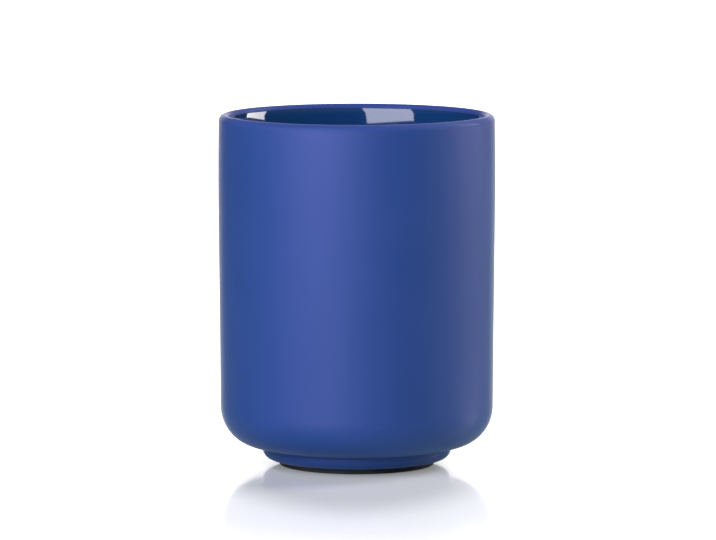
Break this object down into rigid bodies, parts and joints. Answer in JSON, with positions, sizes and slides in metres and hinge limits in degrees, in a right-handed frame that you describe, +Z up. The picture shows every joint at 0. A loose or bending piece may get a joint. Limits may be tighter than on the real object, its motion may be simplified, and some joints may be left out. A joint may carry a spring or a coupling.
{
  "type": "bathroom tumbler",
  "caption": "Upright round tumbler with a near-straight wall, round rim, rounded heel, turned foot and a non-slip ring under the foot; matte outside, glossy inside.",
  "frame": {"origin": "centre of the non-slip ring's underside, on the surface that the tumbler stands on", "axes": "+Z up along the tumbler's axis, out of its mouth; X and Y are alike, because the tumbler is round"},
  "size_m": [0.0811, 0.081, 0.103],
  "materials": {
    "clay": "bare fired clay, dry and matte",
    "glaze": "glossy dark blue glaze",
    "coat": "soft-touch matte blue coat",
    "ring_rubber": "matte black rubber",
    "adhesive": "clear cured adhesive film"
  },
  "bodies": {
    "root": {"clay_body": "clay", "inner_glaze": "glaze", "soft_touch_coat": "coat", "non_slip_ring": "ring_rubber", "ring_adhesive": "adhesive"}
  },
  "joints": []
}
